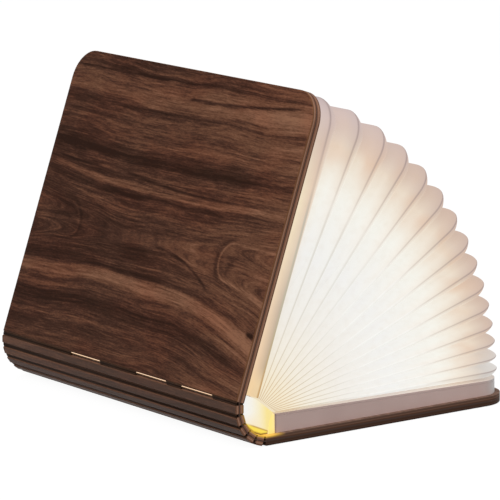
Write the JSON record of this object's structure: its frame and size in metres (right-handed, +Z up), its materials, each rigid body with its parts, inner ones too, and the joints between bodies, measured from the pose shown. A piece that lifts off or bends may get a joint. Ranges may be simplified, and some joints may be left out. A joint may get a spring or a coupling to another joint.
{
  "type": "folding book lamp",
  "caption": "Rechargeable lamp shaped like a book: two walnut covers on a slatted spine open a pleated paper fan lit from a light bar at the spine.",
  "frame": {"origin": "middle of the back cover's underside, which lies flat on the table", "axes": "+X from the spine to the fore edge, +Y along the spine, +Z up from the table"},
  "size_m": [0.1744, 0.215, 0.1721],
  "materials": {
    "walnut": "satin",
    "walnut_slat": "satin",
    "inner_ply": "satin",
    "core_cloth": "matte",
    "magnet": "gloss",
    "housing": "matte",
    "screw_steel": "satin",
    "battery_foil": "satin",
    "wire_red": "gloss",
    "circuit_board": "gloss",
    "socket_steel": "satin",
    "chip_plastic": "matte",
    "led_board_white": "satin",
    "led_phosphor": "satin",
    "wire_white": "gloss",
    "diffuser": "matte",
    "paper": "matte",
    "gusset_paper": "matte"
  },
  "bodies": {
    "back_cover": {"back_outer_panel": "walnut", "back_core": "core_cloth", "back_inner_panel": "inner_ply", "back_magnets": "magnet", "housing_tray": "housing", "housing_lid": "housing", "lid_screws": "screw_steel", "battery_cell": "battery_foil", "battery_leads": "wire_red", "control_board": "circuit_board", "charging_socket": "socket_steel", "magnet_sensor": "chip_plastic", "led_board": "led_board_white", "led_chips": "led_phosphor", "led_leads": "wire_white", "led_diffuser": "diffuser", "page_14": "paper", "page_15": "paper"},
    "slat_1": {"slat_1_outer": "walnut_slat", "slat_1_core": "core_cloth", "slat_1_inner": "inner_ply", "page_10": "paper", "page_11": "paper", "page_12": "paper", "page_13": "paper"},
    "slat_2": {"slat_2_outer": "walnut_slat", "slat_2_core": "core_cloth", "slat_2_inner": "inner_ply", "page_08": "paper", "page_09": "paper"},
    "slat_3": {"slat_3_outer": "walnut_slat", "slat_3_core": "core_cloth", "slat_3_inner": "inner_ply", "page_06": "paper", "page_07": "paper", "near_gusset": "gusset_paper", "far_gusset": "gusset_paper"},
    "slat_4": {"slat_4_outer": "walnut_slat", "slat_4_core": "core_cloth", "slat_4_inner": "inner_ply", "page_04": "paper", "page_05": "paper"},
    "slat_5": {"slat_5_outer": "walnut_slat", "slat_5_core": "core_cloth", "slat_5_inner": "inner_ply", "page_02": "paper", "page_03": "paper"},
    "front_cover": {"front_outer_panel": "walnut", "front_core": "core_cloth", "front_inner_panel": "inner_ply", "front_magnets": "magnet", "front_endpaper": "paper", "page_01": "paper"}
  },
  "joints": [
    {"name": "spine_hinge_1", "type": "hinge", "parent": "back_cover", "child": "slat_1", "pos_m": [-0.0785, 0, 0.0025], "axis": [0, 1, 0], "range_deg": [-48.27, 11.73], "deforming": ["page_10", "page_11", "page_12", "page_13", "page_14", "page_15"]},
    {"name": "spine_hinge_2", "type": "hinge", "parent": "slat_1", "child": "slat_2", "pos_m": [-0.08391, 0, 0.00429], "axis": [0, 1, 0], "range_deg": [-48.27, 11.73], "deforming": ["page_08", "page_09"]},
    {"name": "spine_hinge_3", "type": "hinge", "parent": "slat_2", "child": "slat_3", "pos_m": [-0.08849, 0, 0.00768], "axis": [0, 1, 0], "range_deg": [-48.27, 11.73], "deforming": ["page_06", "page_07", "near_gusset", "far_gusset"]},
    {"name": "spine_hinge_4", "type": "hinge", "parent": "slat_3", "child": "slat_4", "pos_m": [-0.09178, 0, 0.01234], "axis": [0, 1, 0], "range_deg": [-48.27, 11.73], "deforming": ["page_04", "page_05"]},
    {"name": "spine_hinge_5", "type": "hinge", "parent": "slat_4", "child": "slat_5", "pos_m": [-0.09344, 0, 0.01779], "axis": [0, 1, 0], "range_deg": [-48.27, 11.73], "deforming": ["page_02", "page_03"]},
    {"name": "spine_hinge_6", "type": "hinge", "parent": "slat_5", "child": "front_cover", "pos_m": [-0.09331, 0, 0.02349], "axis": [0, 1, 0], "range_deg": [-48.27, 11.73], "deforming": ["page_01"]}
  ],
  "couplings": [
    {"joint": "spine_hinge_2", "follows": "spine_hinge_1", "ratio": 1},
    {"joint": "spine_hinge_3", "follows": "spine_hinge_1", "ratio": 1},
    {"joint": "spine_hinge_4", "follows": "spine_hinge_1", "ratio": 1},
    {"joint": "spine_hinge_5", "follows": "spine_hinge_1", "ratio": 1},
    {"joint": "spine_hinge_6", "follows": "spine_hinge_1", "ratio": 1}
  ]
}
